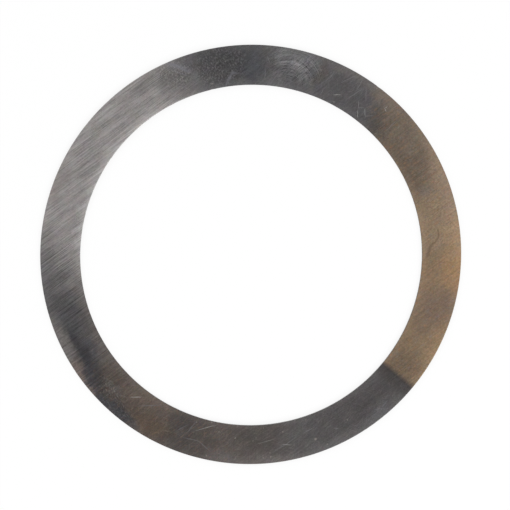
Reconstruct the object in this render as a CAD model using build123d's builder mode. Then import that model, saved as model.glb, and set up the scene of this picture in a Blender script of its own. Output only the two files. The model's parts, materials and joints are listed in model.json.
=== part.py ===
# Shim ring: one flat ring, punched from spring-steel strip and ground on both faces.
# It slides over an 85 mm shaft, or drops into a 105 mm housing, and takes up end play.
# Millimetres. The ring lies on the XY plane, its axis on Z, with its underside at Z = 0.

import os

from build123d import *

# Driving dimensions. The bore stands 0.15 mm clear of the 85 mm shaft, and the rim as
# much inside the 105 mm housing, so that a loose shim drops into place.
bore_diameter = 85.15
face_width = 9.85
thickness = 1.0

# Edges. The punch pulls the metal down round its entry side, the top, and leaves a
# burr on the exit side, the bottom, which is broken with a stone.
die_roll_radius = 0.12
burr_break = 0.06

# Worked out: the rim lies one face width outside the bore, all the way round.
bore_radius = bore_diameter / 2
rim_radius = bore_radius + face_width

os.makedirs("parts", exist_ok=True)


# The ring, one solid: rim and bore in one sketch, extruded up by the thickness.
with BuildPart() as shim_ring:
    with BuildSketch(Plane.XY) as blank:
        Circle(rim_radius)
        Circle(bore_radius, mode=Mode.SUBTRACT)
    extrude(amount=thickness)

    # Both rims of the entry face roll over, at the bore and at the outside.
    entry_face = shim_ring.faces().sort_by(Axis.Z)[-1]
    fillet(entry_face.edges(), radius=die_roll_radius)

    # Both rims of the exit face have their burr broken.
    exit_face = shim_ring.faces().sort_by(Axis.Z)[0]
    chamfer(exit_face.edges(), length=burr_break)

shim_ring.part.label = "shim_ring"
export_step(shim_ring.part, "parts/shim_ring.step")
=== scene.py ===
# A shim ring of spring steel for an 85 mm shaft, ground flat and handled; reflections are painted
# into its upper face.
# Metres, in the frame of the CAD: the ring lies flat, its axis on Z, its underside at Z = 0.

import json
from math import atan2, cos, hypot, radians, sin, tau

import bmesh
import bpy
from mathutils import Matrix, Vector


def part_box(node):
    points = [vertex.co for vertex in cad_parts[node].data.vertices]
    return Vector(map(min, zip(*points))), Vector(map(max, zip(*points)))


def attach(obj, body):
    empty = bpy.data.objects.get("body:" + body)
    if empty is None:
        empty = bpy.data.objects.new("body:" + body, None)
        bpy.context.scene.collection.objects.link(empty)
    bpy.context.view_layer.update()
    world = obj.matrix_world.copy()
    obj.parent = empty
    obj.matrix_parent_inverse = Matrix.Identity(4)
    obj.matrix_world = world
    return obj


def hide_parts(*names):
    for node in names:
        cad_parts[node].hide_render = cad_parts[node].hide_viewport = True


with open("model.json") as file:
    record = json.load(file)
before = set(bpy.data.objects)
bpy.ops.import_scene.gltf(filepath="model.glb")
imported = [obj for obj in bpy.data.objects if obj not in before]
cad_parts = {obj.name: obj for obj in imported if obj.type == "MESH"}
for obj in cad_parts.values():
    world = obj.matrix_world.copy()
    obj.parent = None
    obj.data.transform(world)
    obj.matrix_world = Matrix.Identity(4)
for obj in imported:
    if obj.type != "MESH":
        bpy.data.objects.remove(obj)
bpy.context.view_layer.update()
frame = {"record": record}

# ---------------------------------------------------------------------------------------
# The ring. One piece, punched out of spring-steel strip and ground flat on both faces.
# The punch rolled its top edges over and left each wall burnished above and torn below;
# the burr underneath was broken with a stone.

MM = 0.001

mounts = {mount["name"]: mount for mount in frame["record"]["mounts"]}
bore_radius = mounts["bore"]["dims"]["r_mm"] * MM
rim_radius = mounts["rim"]["dims"]["r_mm"] * MM
ring_low, ring_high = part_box("shim_ring")
thickness = ring_high.z - ring_low.z
face_width = rim_radius - bore_radius
mid_radius = (rim_radius + bore_radius) / 2

die_roll = 0.12 * MM       # radius of the top edges
burr_break = 0.06 * MM     # width of the stoned bottom edges
land = 0.42 * thickness    # burnished upper part of each wall
support = 0.10 * MM        # keeps the faces flat right up to their edges
torn_lean = 0.05 * MM      # how far the torn part leans back by its foot
torn_roughness = 0.06 * MM
nick_reach = 0.45 * MM
nick_depth = 0.07 * MM
touch = 0.01 * MM          # points nearer than this lie at the same place
spin_steps = 720           # one step is half a degree

# The section: a rectangle stood on the X axis, its four corners dressed.
bpy.ops.object.select_all(action="DESELECT")
bpy.ops.mesh.primitive_plane_add(
    size=1, location=(mid_radius, 0, thickness / 2), rotation=(radians(90), 0, 0)
)
ring = bpy.context.object
ring.name = "ground_ring"
ring.data.name = "ground_ring"
ring.scale = (face_width, thickness, 1)
bpy.ops.object.transform_apply(location=True, rotation=True, scale=True)


def pick(wanted, kind="VERT"):
    """Selects, in edit mode, only the ring's vertices or faces that wanted() says yes to."""
    bpy.ops.mesh.select_mode(type=kind)
    bpy.ops.mesh.select_all(action="DESELECT")
    edited = bmesh.from_edit_mesh(ring.data)
    for item in edited.verts if kind == "VERT" else edited.faces:
        item.select = bool(wanted(item))
    edited.select_flush_mode()
    bmesh.update_edit_mesh(ring.data)


bpy.ops.object.mode_set(mode="EDIT")
pick(lambda vertex: vertex.co.z > thickness / 2)
bpy.ops.mesh.bevel(offset=die_roll, segments=4, affect="VERTICES")
pick(lambda vertex: vertex.co.z < 1e-7)
bpy.ops.mesh.bevel(offset=burr_break, segments=1, affect="VERTICES")
bpy.ops.mesh.select_all(action="SELECT")
bpy.ops.mesh.delete(type="ONLY_FACE")

# Cuts across the faces, and level cuts round the walls, finer in the torn part.
inner_support = bore_radius + die_roll + support
outer_support = rim_radius - die_roll - support
for share in (0, 0.25, 0.5, 0.75, 1):
    bpy.ops.mesh.select_all(action="SELECT")
    cut = inner_support + share * (outer_support - inner_support)
    bpy.ops.mesh.bisect(plane_co=(cut, 0, 0), plane_no=(1, 0, 0))
torn_top = thickness - die_roll - land
for share in (0.2, 0.4, 0.6, 0.8, 1):
    bpy.ops.mesh.select_all(action="SELECT")
    cut = burr_break + share * (torn_top - burr_break)
    bpy.ops.mesh.bisect(plane_co=(0, 0, cut), plane_no=(0, 0, 1))

# Below the land each wall leans back a little, the way the strip cracked between the tools.
for outwards in (False, True):
    for share in (0, 0.2, 0.4, 0.6, 0.8):
        level = burr_break + share * (torn_top - burr_break)
        pick(
            lambda vertex: abs(vertex.co.z - level) < touch
            and (vertex.co.x > mid_radius) == outwards
            and abs(abs(vertex.co.x - mid_radius) - face_width / 2) < touch
        )
        lean = (1 - share) * torn_lean
        bpy.ops.transform.translate(value=(-lean if outwards else lean, 0, 0))

bpy.ops.mesh.select_all(action="SELECT")
bpy.ops.mesh.spin(
    steps=spin_steps, angle=tau, center=(0, 0, 0), axis=(0, 0, 1), use_auto_merge=True
)
bpy.ops.mesh.select_all(action="SELECT")
bpy.ops.mesh.remove_doubles(threshold=0.001 * MM)
bpy.ops.mesh.normals_make_consistent(inside=False)

# Two small nicks where the edge was knocked, one at the bore and one at the rim.
for nick_turn, nick_radius, inwards in ((103.2, bore_radius, 1), (53.4, rim_radius, -1)):
    away = Vector((cos(radians(nick_turn)), sin(radians(nick_turn)), 0))
    knocked = away * nick_radius + Vector((0, 0, thickness))
    pick(lambda vertex: (vertex.co - knocked).length < nick_reach)
    bpy.ops.transform.translate(value=away * inwards * nick_depth - Vector((0, 0, nick_depth)))

bpy.ops.object.mode_set(mode="OBJECT")

# The torn part of each wall is rough.
torn = ring.vertex_groups.new(name="torn")
for vertex in ring.data.vertices:
    reach = hypot(vertex.co.x, vertex.co.y)
    at_wall = min(reach - bore_radius, rim_radius - reach) < 1.5 * torn_lean
    if at_wall and burr_break - touch < vertex.co.z < torn_top - touch:
        torn.add([vertex.index], 1.0, "REPLACE")
crystals = bpy.data.textures.new("torn_crystals", "CLOUDS")
crystals.noise_scale = 0.55 * MM
crystals.noise_depth = 2
roughen = ring.modifiers.new("torn_wall", "DISPLACE")
roughen.texture = crystals
roughen.texture_coords = "LOCAL"
roughen.vertex_group = "torn"
roughen.mid_level = 0.5
roughen.strength = torn_roughness
bpy.ops.object.modifier_apply(modifier=roughen.name)
ring.vertex_groups.clear()
bpy.ops.object.shade_smooth_by_angle(angle=radians(40))

# Two maps. "lay" runs its U along the grinding on the faces and up and down on the walls,
# and the shader takes the direction of the brushing from it. "OFBake" unrolls the skin of
# the ring into four strips, one above the other.
lay = 36  # degrees from X towards Y, on the upper face
lay_angle = radians(lay)
strips = 4
strip_margin = 0.002


def is_wall(normal):
    return abs(normal.z) < 0.3


def round_the_section(radius, height, normal):
    """How far round the section a point lies, from 0 at the bottom of the bore to 1."""
    skin = 2 * face_width + 2 * thickness
    if normal.z > 0.3:
        return (thickness + radius - bore_radius) / skin
    if normal.z < -0.3:
        return (2 * thickness + face_width + rim_radius - radius) / skin
    if radius < mid_radius:
        return height / skin
    return (2 * thickness + face_width - height) / skin


lay_map = ring.data.uv_layers.new(name="lay")
skin_map = ring.data.uv_layers.new(name="OFBake")
for polygon in ring.data.polygons:
    polygon_turn = atan2(polygon.center.y, polygon.center.x) % tau
    strip = int(polygon_turn / tau * strips)
    for corner in polygon.loop_indices:
        x, y, z = ring.data.vertices[ring.data.loops[corner].vertex_index].co
        turn = atan2(y, x) % tau
        turn += tau * round((polygon_turn - turn) / tau)
        if is_wall(polygon.normal):
            lay_map.data[corner].uv = (z / MM, turn * mid_radius / MM)
        else:
            along = x * cos(lay_angle) + y * sin(lay_angle)
            across = y * cos(lay_angle) - x * sin(lay_angle)
            lay_map.data[corner].uv = (along / MM, across / MM)
        u = turn / tau * strips - strip
        v = round_the_section(hypot(x, y), z, polygon.normal)
        skin_map.data[corner].uv = (
            strip_margin + (1 - 2 * strip_margin) * u,
            (strip + strip_margin + (1 - 2 * strip_margin) * v) / strips,
        )


# The finish is built from nodes, in mm on the ring. Each patch of painted reflection and each
# scratch is a soft-edged oval laid over what is there, and the grinding is noise drawn out along
# the lay.


def tone(red, green, blue):
    """A colour as the eye reads it, 0 to 255 a channel, for a shader."""
    shares = (red / 255, green / 255, blue / 255)
    linear = [s / 12.92 if s <= 0.04045 else ((s + 0.055) / 1.055) ** 2.4 for s in shares]
    return (*linear, 1)


class Finish:
    """A metal finish being built up, from a plain colour."""

    def __init__(self, name, colour):
        self.material = bpy.data.materials.new(name)
        self.material.use_nodes = True
        self.tree = self.material.node_tree
        self.shader = self.tree.nodes["Principled BSDF"]
        self.colour = colour
        scaled = self.node("VectorMath", operation="SCALE")
        self.feed(scaled.inputs["Vector"], self.node("TexCoord").outputs["Object"])
        self.feed(scaled.inputs["Scale"], 1 / MM)
        x, y, self.height = self.apart(scaled.outputs["Vector"])
        self.flat = self.together(x, y)

    def node(self, kind, **settings):
        made = self.tree.nodes.new("ShaderNode" + kind)
        for name, value in settings.items():
            setattr(made, name, value)
        return made

    def feed(self, socket, value):
        """Sets a socket to a plain value, or links it to another node's output."""
        if isinstance(value, bpy.types.NodeSocket):
            self.tree.links.new(value, socket)
        else:
            socket.default_value = value

    def apart(self, vector):
        made = self.node("SeparateXYZ")
        self.feed(made.inputs["Vector"], vector)
        return tuple(made.outputs)

    def together(self, x, y):
        made = self.node("CombineXYZ")
        self.feed(made.inputs["X"], x)
        self.feed(made.inputs["Y"], y)
        return made.outputs["Vector"]

    def sum(self, operation, *values):
        """One step of arithmetic."""
        made = self.node("Math", operation=operation)
        for socket, value in zip(made.inputs, values):
            self.feed(socket, value)
        return made.outputs["Value"]

    def total(self, start, *parts):
        """A start, plus each value times its weight."""
        for value, weight in parts:
            start = self.sum("MULTIPLY_ADD", value, weight, start)
        return start

    def fade(self, value, start, end, first=0.0, last=1.0):
        """Runs smoothly from first to last as the value goes from start to end."""
        made = self.node("MapRange", interpolation_type="SMOOTHSTEP")
        for name, given in (
            ("Value", value),
            ("From Min", start),
            ("From Max", end),
            ("To Min", first),
            ("To Max", last),
        ):
            self.feed(made.inputs[name], given)
        return made.outputs["Result"]

    def patch(self, place, centre, size, turn=0.0, soft=0.5, cover=1.0):
        """From cover, inside an oval of that size, to 0 outside it, over a soft edge."""
        made = self.node("Mapping", vector_type="TEXTURE")
        self.feed(made.inputs["Vector"], place)
        reach = (1 + soft) / 2
        made.inputs["Location"].default_value = (*centre, 0)
        made.inputs["Rotation"].default_value = (0, 0, radians(turn))
        made.inputs["Scale"].default_value = (size[0] * reach, size[1] * reach, 1)
        dome = self.node("TexGradient", gradient_type="SPHERICAL")
        self.feed(dome.inputs["Vector"], made.outputs["Vector"])
        return self.fade(dome.outputs["Fac"], 0, 2 * soft / (1 + soft), 0, cover)

    def mix(self, over, share, way="MIX"):
        made = self.node("Mix", data_type="RGBA", blend_type=way)
        self.feed(made.inputs["Factor"], share)
        self.feed(made.inputs["A"], self.colour)
        self.feed(made.inputs["B"], over)
        self.colour = made.outputs["Result"]

    def lay_over(self, laid_colour, share):
        """Covers a share of the colour so far with another."""
        self.mix(laid_colour, share)

    def times(self, shade):
        """Multiplies the colour so far by a shade, 1 for no change."""
        grey = self.node("CombineColor")
        for socket in grey.inputs:
            self.feed(socket, shade)
        self.mix(grey.outputs["Color"], 1, "MULTIPLY")

    def noise(self, place, size, turn=0.0, seed=0.0, detail=2.0, rough=0.5, warp=0.0):
        made = self.node("Mapping", vector_type="TEXTURE")
        self.feed(made.inputs["Vector"], place)
        made.inputs["Location"].default_value = (37 * seed, 53 * seed, 0)
        made.inputs["Rotation"].default_value = (0, 0, radians(turn))
        made.inputs["Scale"].default_value = (*size, 1)
        noise = self.node("TexNoise", noise_dimensions="2D")
        self.feed(noise.inputs["Vector"], made.outputs["Vector"])
        noise.inputs["Scale"].default_value = 1
        noise.inputs["Detail"].default_value = detail
        noise.inputs["Roughness"].default_value = rough
        noise.inputs["Distortion"].default_value = warp
        return noise.outputs

    def grain(self, place, size, turn=0.0, seed=0.0, detail=2.0, rough=0.5, warp=0.0):
        """Noise from about -1 to 1, its grains that long and wide, turned by degrees."""
        made = self.noise(place, size, turn, seed, detail, rough, warp)
        return self.sum("MULTIPLY_ADD", made["Fac"], 4, -2)

    def tinge(self, place, size, amount, seed):
        """Lets the hue wander, by up to about that share of each of its channels."""
        about_one = self.node("BrightContrast")
        self.feed(about_one.inputs["Color"], self.noise(place, size, 0, seed, 2, 0.6)["Color"])
        about_one.inputs["Bright"].default_value = 0.5
        about_one.inputs["Contrast"].default_value = 3
        self.mix(about_one.outputs["Color"], amount, "MULTIPLY")

    def around(self, centre, start, radius, base=0.0):
        """Places about a centre: X along a circle of that radius, Y outwards from base."""
        moved = self.node("VectorMath", operation="SUBTRACT")
        self.feed(moved.inputs[0], self.flat)
        moved.inputs[1].default_value = (*centre, 0)
        x, y, _ = self.apart(moved.outputs["Vector"])
        turn = self.sum("ARCTAN2", y, x)
        turn = self.sum("WRAP", turn, radians(start), radians(start - 360))
        turn = self.sum("SUBTRACT", turn, radians(start - 360))
        reach = self.node("VectorMath", operation="LENGTH")
        self.feed(reach.inputs[0], moved.outputs["Vector"])
        return self.together(
            self.sum("MULTIPLY", turn, radius),
            self.sum("SUBTRACT", reach.outputs["Value"], base),
        )

    def shaken(self, place, size, reach, seed, detail=3.0):
        """The same places pushed about, so that outlines drawn on them waver."""
        x, y, _ = self.apart(place)
        along = self.grain(self.flat, (size, size), 0, seed, detail, 0.6)
        across = self.grain(self.flat, (size, size), 0, seed + 0.5, detail, 0.6)
        return self.together(
            self.sum("MULTIPLY_ADD", along, reach, x),
            self.sum("MULTIPLY_ADD", across, reach, y),
        )

    def brush(self, lay):
        """The grinding: lines of several widths along the lay, all of them straight."""
        bands = self.grain(self.flat, (34, 1.1), lay, 3, 1.5)
        lines = self.grain(self.flat, (20, 0.42), lay, 4, 1.5)
        fine_lines = self.grain(self.flat, (11, 0.22), lay, 5, 1.5)
        hair_lines = self.grain(self.flat, (3, 0.09), lay, 6, 1.5)
        return self.total(0, (bands, 0.14), (lines, 0.38), (fine_lines, 0.85), (hair_lines, 0.65))

    def done(self, rough, bump):
        """Puts the colour, the roughness and the height of the surface on the shader."""
        self.feed(self.shader.inputs["Base Color"], self.colour)
        self.feed(self.shader.inputs["Roughness"], rough)
        self.shader.inputs["Metallic"].default_value = 1
        self.shader.inputs["Anisotropic"].default_value = 0.6
        brushing = self.node("Tangent", direction_type="UV_MAP", uv_map="lay")
        self.feed(self.shader.inputs["Tangent"], brushing.outputs["Tangent"])
        relief = self.node("Bump")
        relief.inputs["Strength"].default_value = 0.5
        relief.inputs["Distance"].default_value = 0.004 * MM
        self.feed(relief.inputs["Height"], bump)
        self.feed(self.shader.inputs["Normal"], relief.outputs["Normal"])
        ring.data.materials.append(self.material)


# The upper face. Places on it are given as an angle about the axis, in degrees, and a
# height above the bore, in mm, and the band is measured from the sharp edge of the brown painted
# reflection.
# The large patches of colour are painted reflections of the surroundings; the marks are named
# for what they look like, not for what they are known to be.
face = Finish("ground_face", tone(83, 81, 81))
reflection_edge = 319.9
band = face.around((0, 0), reflection_edge, mid_radius / MM, bore_radius / MM)
ragged = face.shaken(band, 5, 1.2, 1)
shaky = face.shaken(face.flat, 1.6, 0.08, 2)
along, height, _ = face.apart(band)
whole = 60  # a width that covers the band from bore to rim


def on_band(angle, height):
    return (radians((angle - reflection_edge) % 360) * mid_radius / MM, height)


def reflection_patch(laid_colour, angle, height, length, width, cover=1.0, soft=0.7, turn=0):
    """A patch of painted reflection on the band, length by width in mm."""
    share = face.patch(ragged, on_band(angle, height), (length, width), turn, soft, cover)
    face.lay_over(tone(*laid_colour), share)
    return share


# A warm painted reflection low on the left and along the bottom.
warm_reflection = reflection_patch((86, 79, 75), 238, 5, 45, whole, soft=0.35)
reflection_patch((96, 86, 79), 231, 1.5, 22, 6, cover=0.8)
reflection_patch((81, 73, 67), 234, 5.4, 18, 4, cover=0.7)
reflection_patch((69, 66, 65), 249.5, 5.5, 13, 15, cover=0.9)
reflection_patch((89, 77, 67), 239.5, 7.5, 10, 6, cover=0.7)
reflection_patch((84, 78, 75), 266, 5, 22, whole, cover=0.8)
reflection_patch((75, 70, 67), 255.5, 5, 6, 5, cover=0.7)
reflection_patch((76, 72, 70), 251, 9.5, 15, 4, cover=0.7)
reflection_patch((92, 87, 85), 261, 8.8, 7, 4, cover=0.7)
reflection_patch((74, 70, 68), 272, 2.5, 12, 8, cover=0.8)
reflection_patch((96, 92, 90), 272, 9.5, 16, 3, cover=0.6)
reflection_patch((73, 70, 70), 305, 4, 30, 9, cover=0.8)
reflection_patch((69, 66, 67), 310, 4.8, 10, 4, cover=0.6)
reflection_patch((84, 83, 84), 309.5, 8.6, 7, 3.5, cover=0.6)
reflection_patch((87, 85, 85), 298, 9, 14, 3, cover=0.5)

# A brown painted reflection: it ends sharply along the edge of what it reflects, and thins out
# softly at the upper right.
brown_reflection = reflection_patch((117, 101, 83), 0, 5, 82, whole, soft=0.12)
brown_reflection = face.sum("MULTIPLY", brown_reflection, face.fade(along, 0, 1.9))
reflection_patch((137, 119, 99), 5, 5, 32, whole, cover=0.8)
reflection_patch((108, 98, 88), 38, 4, 26, whole, cover=0.9)
reflection_patch((142, 123, 106), 18, 9.5, 24, 7, cover=0.8)
reflection_patch((125, 105, 84), 354, 5, 10, whole, cover=0.7)
reflection_patch((146, 118, 90), 357.5, 9, 11, 7, cover=0.9)
reflection_patch((149, 127, 103), 5.5, 9, 9, 6, cover=0.7)
reflection_patch((111, 95, 84), 343, 6.5, 10, 13, cover=0.8)
reflection_patch((134, 113, 90), 332, 8.8, 14, 5, cover=0.8)
reflection_patch((101, 87, 74), 324, 4, 7, 11, cover=0.8)
reflection_patch((101, 89, 78), 28, 4.5, 7, 4, cover=0.7)
reflection_patch((98, 86, 75), 30, 1.2, 16, 5, cover=0.7)
reflection_patch((112, 103, 98), 20.5, 3.6, 3, 2.6, cover=0.5)
reflection_patch((74, 70, 67), 49.5, 0.8, 12, 8, cover=0.9)

# A blue-black painted reflection over the top, scuffed paler in the middle of it.
dark_reflection = reflection_patch((86, 84, 85), 62, 4, 22, whole, soft=0.35)
reflection_patch((112, 101, 92), 49.0, 9.4, 8, 5.5, cover=0.9)
reflection_patch((101, 97, 95), 60, 9.6, 11, 3, cover=0.7)
reflection_patch((84, 77, 72), 69.8, 5, 2.0, 11, cover=0.7, turn=8)
reflection_patch((98, 97, 98), 77, 5, 12, whole, cover=0.8)
reflection_patch((108, 107, 108), 77.5, 7.5, 9, 5, cover=0.7)
reflection_patch((86, 84, 86), 82, 4.6, 5, 2.6, cover=0.8)
reflection_patch((97, 96, 97), 84, 1, 8, 3.5, cover=0.6)
reflection_patch((84, 82, 84), 74.5, 1, 11, 4, cover=0.6)
reflection_patch((79, 78, 79), 97, 6.5, 15, 12, cover=0.9)
reflection_patch((74, 75, 79), 90, 4, 5, 9, cover=0.8)
reflection_patch((90, 89, 90), 99, 0.5, 14, 3, cover=0.7)
reflection_patch((97, 96, 97), 105.5, 2, 8, 7, cover=0.6)
reflection_patch((77, 76, 79), 107.5, 8.8, 7, 4.5, cover=0.7)

# A pale painted reflection on the upper left, brightest along the bore.
pale_reflection = reflection_patch((137, 133, 132), 149, 5, 60, whole, soft=0.32)
reflection_patch((138, 135, 133), 138, 8, 16, 4, cover=0.6)
reflection_patch((122, 118, 116), 189, 0.6, 15, 5, cover=0.7)
reflection_patch((108, 105, 104), 115.5, 5.2, 6, 4, cover=0.7)
reflection_patch((92, 91, 92), 182, 9.5, 14, 6, cover=0.7)
reflection_patch((112, 109, 107), 174.5, 8.8, 7, 5, cover=0.5)
reflection_patch((124, 118, 115), 159, 8.6, 8, 4, cover=0.6)
reflection_patch((98, 96, 95), 182, 5.5, 6, 5, cover=0.4)
reflection_patch((153, 150, 148), 155, 0.0, 42, 4, cover=0.85)
reflection_patch((148, 145, 143), 130, 0.0, 24, 3, cover=0.6)
reflection_patch((125, 122, 120), 121, 8.4, 9, 5, cover=0.7)

# A dark painted reflection down the left, with a paler patch outside it.
lined = face.patch(ragged, on_band(199, 5), (36, whole), 0, 0.3)
reflection_patch((76, 75, 77), 205.5, 5, 23, 10.5, cover=0.9)
reflection_patch((92, 87, 84), 210, 0.2, 32, 4.5, cover=0.8)
reflection_patch((59, 58, 60), 211.5, 6.6, 14, 3.6, cover=0.95)
reflection_patch((65, 64, 66), 216.5, 4.9, 7, 3, cover=0.6)
reflection_patch((105, 101, 99), 204, 10.2, 12, 6.0, cover=0.9, soft=0.35)
reflection_patch((104, 95, 91), 214.5, 10.0, 9, 5.6, cover=0.9, soft=0.35)
reflection_patch((64, 64, 68), 218, 7.5, 9, 1.9, cover=0.8, turn=8)
reflection_patch((66, 66, 69), 227.5, 8.9, 14, 3.4, cover=0.9, turn=8)
reflection_patch((80, 73, 68), 221, 3.5, 8, 7, cover=0.7)
reflection_patch((99, 96, 94), 223.5, 5.3, 5, 2.2, cover=0.6)

# The dark painted reflection is darkest against the sharp edge of the brown one.
face.lay_over(tone(64, 61, 60), face.fade(along, 294.5, 297.5, 0, 0.8))
face.lay_over(tone(64, 61, 60), face.fade(along, 0, 1.9, 1, 0))

# The brown painted reflection is broken into orange and grey by a grain.
orange = face.grain(face.flat, (1.9, 0.7), lay, 11, 3, 0.7)
grey = face.grain(face.flat, (2.2, 0.8), lay, 12, 3, 0.7)
warm_reflection_share = face.total(0, (brown_reflection, 0.52), (warm_reflection, 0.15))
face.lay_over(tone(140, 106, 78), face.sum("MULTIPLY", face.fade(orange, 0, 1.2), warm_reflection_share))
face.lay_over(tone(112, 106, 103), face.sum("MULTIPLY", face.fade(grey, 0, 1.4, 0, 0.6), brown_reflection))
face.tinge(face.flat, (0.45, 0.45), face.total(0.03, (warm_reflection_share, 0.06), (warm_reflection, 0.03)), 13)
face.tinge(face.flat, (2.5, 2.5), 0.03, 17)

# A thumb has been rubbed round on the face: fine hairs about one centre, and across it.
swirl = face.around((8.5, 42.0), -90, 6, 0)
hairs = face.grain(swirl, (4, 0.16), 0, 14, 2, 0.7, 0.6)
cross_hairs = face.grain(face.flat, (1.8, 0.2), 38, 16, 2, 0.7, 0.8)
hairs = face.total(hairs, (cross_hairs, 0.9))
rubbed_at = face.patch(ragged, on_band(77.5, 6), (13, 9), 0, 0.5)
stroke = face.patch(swirl, (radians(135) * 6, 6.1), (11, 1.2), 0, 0.9)
stroke = face.sum("MULTIPLY", stroke, face.fade(hairs, -0.9, 0.9, 0.2, 1.6))
hair_shade = face.sum("MULTIPLY", hairs, rubbed_at)

# Dried oil has gone to small slanting specks, like leather, near the top and low left.
leather = face.grain(face.flat, (0.6, 0.32), 120, 15, 1, 0.5)
leather = face.fade(leather, -0.2, 1.5, -0.4, 1.0)
leather_at = face.patch(ragged, on_band(99, 5.5), (12, 10), 0, 0.4)
for angle, level, length, width in ((223.5, 6, 8, 4), (229, 8.5, 9, 4), (112, 6.5, 8, 6)):
    spot = face.patch(ragged, on_band(angle, level), (length, width), 0, 0.6, 0.9)
    leather_at = face.sum("MAXIMUM", leather_at, spot)
leather_shade = face.sum("MULTIPLY", leather, leather_at)


def strays(length, width, turn, seed):
    """Sparse fine scratches along one direction."""
    lines = face.grain(face.flat, (length, width), turn, seed, 0, 0.5)
    return face.fade(lines, 0.75, 1.25)


handled = face.total(
    0,
    (strays(4, 0.13, 62, 41), 1),
    (strays(6, 0.12, 52, 46), 1),
    (strays(5, 0.13, 27, 42), 1),
    (strays(3, 0.14, 90, 43), 1),
    (strays(4, 0.12, -24, 44), 1),
    (strays(2.5, 0.14, 3, 45), 1),
)

# Grinding, a mottle of tarnish, and both edges a little brighter than the middle.
grinding = face.brush(lay)
mottle = face.grain(face.flat, (0.55, 0.55), 0, 7, 3, 0.85)
clouds = face.grain(face.flat, (3.2, 3.2), 0, 8, 4, 0.6)
depth = face.total(0.12, (pale_reflection, 0.18), (lined, 0.18), (brown_reflection, -0.01))
handled_depth = face.total(0.20, (pale_reflection, -0.12), (brown_reflection, -0.12), (lined, -0.08))
shade = face.total(
    0.94,
    # the pale painted reflection a little brighter still
    (pale_reflection, 0.05),
    (face.sum("MULTIPLY", grinding, depth), 1),
    (face.sum("MULTIPLY", handled, handled_depth), 1),
    (mottle, 0.14),
    (face.sum("MULTIPLY", mottle, brown_reflection), 0.08),
    (clouds, 0.05),
    (hair_shade, 0.5),
    (stroke, 0.32),
    (leather_shade, 0.6),
    (face.fade(height, 1.9, 0.3), 0.13),
    (face.fade(height, 7.4, 9.4), 0.10),
)
face.times(shade)


def scratch(laid_colour, x, y, length, turn, width=0.11, cover=0.9, soft=0.4):
    """One scratch, x and y of its middle and its length in mm."""
    place = (x, y)
    face.lay_over(tone(*laid_colour), face.patch(shaky, place, (length, width), turn, soft, cover))


# Scratches at the upper right, across and along the axes of the hand.
fresh = (166, 165, 163)
scratch(fresh, 21.1, 40.1, 2.0, 0, cover=0.7)
scratch(fresh, 20.3, 38.4, 0.6, 3, cover=0.5)
scratch(fresh, 26.2, 35.4, 1.9, 90, cover=0.7)
scratch(fresh, 26.4, 37.6, 1.8, 90, cover=0.4)
scratch(fresh, 28.0, 35.6, 2.2, 90, cover=0.6)
scratch(fresh, 33.1, 36.3, 0.9, -66, cover=0.7)
scratch(fresh, 33.2, 37.0, 0.9, 42, cover=0.7)
for x, y, length, turn in (
    (28.2, 40.4, 3.5, 90),
    (27.1, 36.9, 1.5, 5),
    (29.1, 34.9, 1.9, 1),
    (26.7, 42.6, 3.4, 60),
    (17.3, 40.9, 1.6, 63),
    (23.7, 43.9, 4.6, 25),
    (19.8, 45.0, 2.1, 54),
    (25.4, 40.3, 4.8, 34),
    (34.7, 32.6, 3.1, 45),
    (4.1, 48.7, 2.0, -65),
    (3.2, 45.4, 2.5, 90),
):
    scratch((132, 132, 134), x, y, length, turn, cover=0.5)

# And along the bottom, some bright and some only blue smears.
scratch(fresh, -29.0, -35.0, 2.8, 1, cover=0.9)
scratch(fresh, -11.5, -43.0, 5.0, 15, cover=0.55)
scratch(fresh, 3.4, -46.7, 4.7, 16, width=0.2, cover=0.15)
scratch(fresh, 8.7, -47.5, 2.1, -4, cover=0.5)
scratch((125, 112, 106), -21.5, -43.7, 1.5, -1, cover=0.8)
for x, y, length, turn in (
    (-17.6, -43.0, 2.5, 27),
    (-15.3, -42.9, 3.0, 50),
    (-15.2, -45.9, 3.7, -13),
    (-12.2, -47.5, 3.4, -43),
    (-25.5, -37.2, 5.2, 3),
    (8.2, -47.6, 6.1, 33),
    (14.2, -43.9, 2.3, 27),
    (21.3, -43.6, 0.7, 6),
    (32.5, -38.7, 2.3, 1),
    (33.3, -37.5, 2.0, 50),
):
    scratch((114, 113, 117), x, y, length, turn, width=0.22, cover=0.4, soft=0.8)

# Pale smears where the dark painted reflection meets the pale one.
for x, y, length, turn, width in (
    (-18.2, 47.0, 5.4, -17, 1.5),
    (-18.9, 47.5, 3.8, -15, 0.35),
    (-18.0, 46.9, 4.6, -19, 0.3),
    (-16.3, 46.0, 2.6, -23, 0.4),
    (-17.6, 45.4, 3.6, -20, 0.3),
    (-4.5, 45.5, 1.5, -5, 0.6),
    (-5.3, 44.9, 1.6, 57, 0.5),
    (-5.9, 43.7, 1.9, 67, 0.5),
):
    scratch((128, 128, 135), x, y, length, turn, width, cover=0.34, soft=0.95)

# A dark hairline in the brown painted reflection, like a hair or a thread.
for x, y, length, turn, width in (
    (44.1, 0.7, 2.8, 71, 0.9),
    (44.8, 2.5, 1.6, 61, 0.7),
    (45.5, 3.2, 1.1, 32, 0.5),
    (46.1, 4.0, 1.5, 60, 0.5),
    (46.6, 4.9, 1.1, 71, 0.45),
    (46.6, 5.9, 1.6, 99, 0.4),
):
    scratch((84, 70, 58), x, y, length, turn, width, cover=0.4, soft=0.7)

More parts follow.
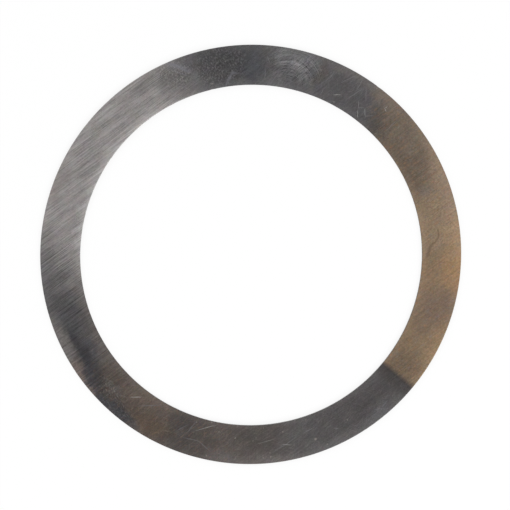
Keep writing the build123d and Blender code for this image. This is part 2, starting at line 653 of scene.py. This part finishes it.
# Specks of dust and bare metal, most of them along the bottom.
for x, y, across in (
    (-11.5, -50.1, 0.35),
    (-13.9, -41.6, 0.3),
    (-10.1, -41.7, 0.3),
    (-4.2, -45.7, 0.35),
    (1.0, -45.7, 0.25),
    (0.2, -46.5, 0.25),
    (4.7, -50.6, 0.4),
    (4.5, -49.6, 0.3),
    (2.8, -50.8, 0.3),
    (-8.3, -44.1, 0.3),
    (2.9, -43.2, 0.25),
    (16.0, -46.2, 0.6),
    (7.7, -44.3, 0.35),
    (13.5, -41.3, 0.25),
    (24.0, -41.4, 0.3),
    (19.0, -47.5, 0.3),
    (-9.8, 42.9, 0.4),
    (30.9, 41.7, 0.4),
):
    scratch((142, 134, 128), x, y, across, 40, width=across * 0.8, cover=0.5, soft=0.7)

face.done(face.total(0.36, (mottle, 0.03), (clouds, 0.04), (pale_reflection, -0.06)), shade)

# The underside has the same grinding the other way, a thin tarnish and the rub of a table.
under = Finish("ground_underside", tone(118, 115, 112))
under_cloud = under.grain(under.flat, (9, 9), 0, 21, 4, 0.6)
under.lay_over(tone(96, 89, 82), under.fade(under_cloud, -0.2, 1.2, 0, 0.8))
under_dark = under.grain(under.flat, (5, 5), 0, 22, 4, 0.6)
under.lay_over(tone(82, 80, 80), under.fade(under_dark, 0.1, 1.2, 0, 0.8))
under.tinge(under.flat, (0.8, 0.8), 0.03, 23)
under_rub = under.grain(under.flat, (12, 0.14), -20, 24, 0)
under_rub = under.fade(under_rub, 0.8, 1.2, 0, 0.15)
under_shade = under.total(1, (under.brush(112), 0.2), (under_rub, 1))
under.times(under_shade)
under.done(under.total(0.36, (under_cloud, 0.05)), under_shade)

# The walls: a burnished land with drag marks from the punch, above a grey torn part.
wall = Finish("punched_wall", tone(100, 97, 94))
wall_along, _, _ = wall.apart(wall.around((0, 0), 0, mid_radius / MM))
upright = wall.together(wall_along, wall.height)
drag = wall.grain(upright, (0.07, 1.6), 0, 31, 2, 0.6)
ripple = wall.grain(upright, (1.2, 0.2), 0, 32, 2, 0.6)
tear_line = wall.total(torn_top / MM, (ripple, 0.06))
tear = wall.sum("SUBTRACT", wall.height, tear_line)
torn_share = wall.fade(tear, 0.03, -0.03)
wall.lay_over(tone(66, 63, 61), torn_share)
crystals_shade = wall.grain(upright, (0.12, 0.1), 0, 33, 3, 0.7)
wall_shade = wall.total(1, (drag, 0.16), (wall.sum("MULTIPLY", crystals_shade, torn_share), 0.22))
wall.times(wall_shade)
wall.tinge(upright, (2.0, 1.0), 0.03, 34)
wall.done(wall.total(0.30, (torn_share, 0.25), (drag, 0.03)), wall_shade)

for polygon in ring.data.polygons:
    if is_wall(polygon.normal):
        polygon.material_index = 2
    elif polygon.normal.z < 0:
        polygon.material_index = 1

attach(ring, "root")
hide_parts("shim_ring")

# ---------------------------------------------------------------------------------------
# The stage: a white sheet on the floor, a white room, and two soft lamps overhead.

floor_level = -0.00002  # just under the ring

bpy.ops.object.select_all(action="DESELECT")
bpy.ops.mesh.primitive_plane_add(size=4, location=(0, 0, floor_level))
floor = bpy.context.object
floor.name = "floor"


def shows_white(tree):
    """1 for what the camera sees, straight or in a polished surface, and 0 for the rest."""
    seen = tree.nodes.new("ShaderNodeLightPath").outputs
    share = seen["Is Camera Ray"]
    for other in ("Is Glossy Ray", "Is Transmission Ray"):
        either = tree.nodes.new("ShaderNodeMath")
        either.operation = "MAXIMUM"
        tree.links.new(share, either.inputs[0])
        tree.links.new(seen[other], either.inputs[1])
        share = either.outputs[0]
    return share


sheet = bpy.data.materials.new("white_sheet")
sheet.use_nodes = True
tree = sheet.node_tree
tree.nodes.remove(tree.nodes["Principled BSDF"])
lit = tree.nodes.new("ShaderNodeBsdfDiffuse")
lit.inputs["Color"].default_value = (0.8, 0.8, 0.8, 1)
faint = tree.nodes.new("ShaderNodeBsdfDiffuse")
faint.inputs["Color"].default_value = (0.16, 0.16, 0.16, 1)
glow = tree.nodes.new("ShaderNodeEmission")
glow.inputs["Strength"].default_value = 0.86
seen_floor = tree.nodes.new("ShaderNodeAddShader")
tree.links.new(faint.outputs[0], seen_floor.inputs[0])
tree.links.new(glow.outputs[0], seen_floor.inputs[1])
either = tree.nodes.new("ShaderNodeMixShader")
tree.links.new(shows_white(tree), either.inputs[0])
tree.links.new(lit.outputs[0], either.inputs[1])
tree.links.new(seen_floor.outputs[0], either.inputs[2])
tree.links.new(either.outputs[0], tree.nodes["Material Output"].inputs["Surface"])
floor.data.materials.append(sheet)

world = bpy.data.worlds.new("white_room")
bpy.context.scene.world = world
world.use_nodes = True
tree = world.node_tree
room = tree.nodes["Background"]
strength = tree.nodes.new("ShaderNodeMapRange")
strength.inputs["To Min"].default_value = 0.55
strength.inputs["To Max"].default_value = 1
tree.links.new(shows_white(tree), strength.inputs["Value"])
tree.links.new(strength.outputs["Result"], room.inputs["Strength"])
room.inputs["Color"].default_value = (1, 1, 1, 1)


def softbox(name, bearing, tilt, distance, size, power):
    """A square lamp aimed at the ring, tilted from overhead towards a bearing."""
    away = Vector((sin(tilt) * cos(bearing), sin(tilt) * sin(bearing), cos(tilt)))
    lamp = bpy.data.lights.new(name, "AREA")
    lamp.size = size
    lamp.energy = power
    holder = bpy.data.objects.new(name, lamp)
    holder.location = away * distance
    holder.rotation_euler = away.to_track_quat("Z", "Y").to_euler()
    bpy.context.scene.collection.objects.link(holder)


softbox("key_lamp", radians(305), radians(42), 1.0, 0.7, 3.6)
softbox("fill_lamp", radians(120), radians(50), 1.2, 0.8, 2.5)

# ---------------------------------------------------------------------------------------
# The camera stands almost straight above the ring, tipped a little to the upper left.

camera_distance = 0.481
camera_tilt = radians(6.75)
camera_bearing = radians(119.3)

lens = bpy.data.cameras.new("camera")
lens.sensor_width = 36
lens.lens = 136.3
lens.shift_x = 0.0062
lens.shift_y = 0.0027
camera = bpy.data.objects.new("camera", lens)
bpy.context.scene.collection.objects.link(camera)
back = Vector(
    (
        sin(camera_tilt) * cos(camera_bearing),
        sin(camera_tilt) * sin(camera_bearing),
        cos(camera_tilt),
    )
)
right = Vector((0, 1, 0)).cross(back).normalized()
up = back.cross(right)
camera.matrix_world = Matrix.Translation(back * camera_distance) @ Matrix(
    (right, up, back)
).transposed().to_4x4()
bpy.context.scene.camera = camera

bpy.context.scene.view_settings.view_transform = "Standard"
